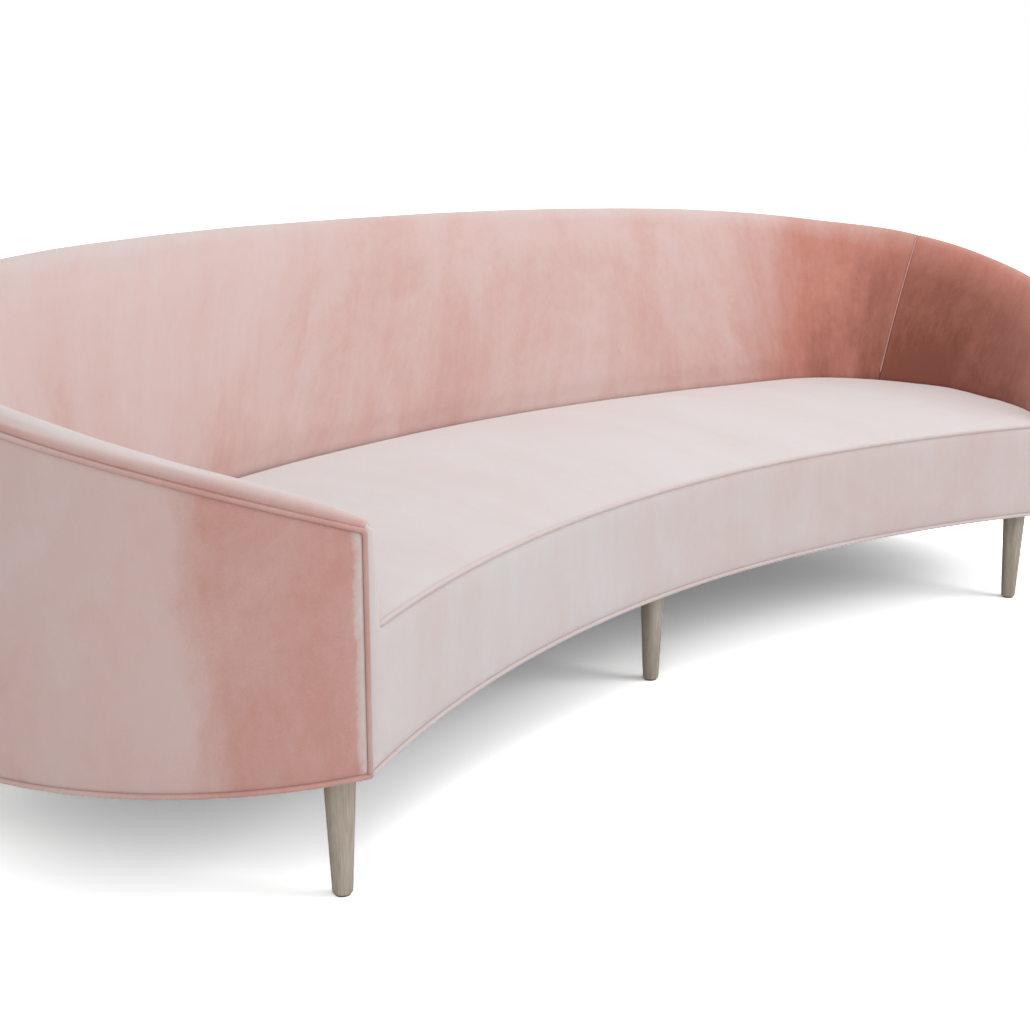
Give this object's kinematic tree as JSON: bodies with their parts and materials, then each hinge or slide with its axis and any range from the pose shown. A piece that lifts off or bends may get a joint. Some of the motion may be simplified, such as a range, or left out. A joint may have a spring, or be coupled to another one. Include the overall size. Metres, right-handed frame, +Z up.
{
  "type": "sofa",
  "caption": "Crescent sofa with a tight bench seat, a raked rolled-top back that runs down into narrow arms, welted velvet covers and round tapered legs.",
  "frame": {"origin": "on the floor under the middle of the plan's bounding box", "axes": "+X along the width, +Y towards the back, +Z up; the open front faces -Y"},
  "size_m": [2.5248, 1.0938, 0.782],
  "materials": {
    "velvet": "blush pink velvet pile",
    "welt": "velvet-covered cord",
    "foam": "open-cell foam",
    "frame_timber": "sawn hardwood and plywood",
    "fibreboard": "pressed fibreboard",
    "steel": "bright steel wire and fasteners",
    "felt": "grey felt and webbing",
    "leg_oak": "greyed limed oak",
    "dust_cloth": "black dust cloth"
  },
  "bodies": {
    "root": {"seat_cover": "velvet", "front_border": "velvet", "inside_back_cover": "velvet", "inside_arm_cover_left": "velvet", "inside_arm_cover_right": "velvet", "outside_cover": "velvet", "arm_facing_left": "velvet", "arm_facing_right": "velvet", "seat_welt": "welt", "outside_top_welt": "welt", "arm_front_welt_left": "welt", "arm_front_welt_right": "welt", "bottom_welt": "welt", "seat_foam": "foam", "back_foam_centre": "foam", "back_foam_left": "foam", "back_foam_right": "foam", "arm_foam_left": "foam", "arm_foam_right": "foam", "front_padding": "foam", "arm_front_padding_left": "foam", "arm_front_padding_right": "foam", "base_ring": "frame_timber", "front_rail": "frame_timber", "cross_rails": "frame_timber", "corner_blocks": "frame_timber", "seat_back_rail": "frame_timber", "seat_shelf_left": "frame_timber", "seat_shelf_right": "frame_timber", "tack_rail": "frame_timber", "back_ribs": "frame_timber", "top_rail_left": "frame_timber", "top_rail_centre": "frame_timber", "top_rail_right": "frame_timber", "arm_post_left": "frame_timber", "arm_post_right": "frame_timber", "outside_board_centre": "fibreboard", "outside_board_left": "fibreboard", "outside_board_right": "fibreboard", "frame_screws": "steel", "seat_springs": "steel", "spring_clips": "steel", "leg_bolts": "steel", "leg_tee_nuts": "steel", "seat_insulator": "felt", "back_webbing": "felt", "glide_front_left": "felt", "glide_front_middle": "felt", "glide_front_right": "felt", "glide_rear_left": "felt", "glide_rear_middle": "felt", "glide_rear_right": "felt", "leg_front_left": "leg_oak", "leg_front_middle": "leg_oak", "leg_front_right": "leg_oak", "leg_rear_left": "leg_oak", "leg_rear_middle": "leg_oak", "leg_rear_right": "leg_oak", "dust_cover": "dust_cloth"}
  },
  "joints": []
}
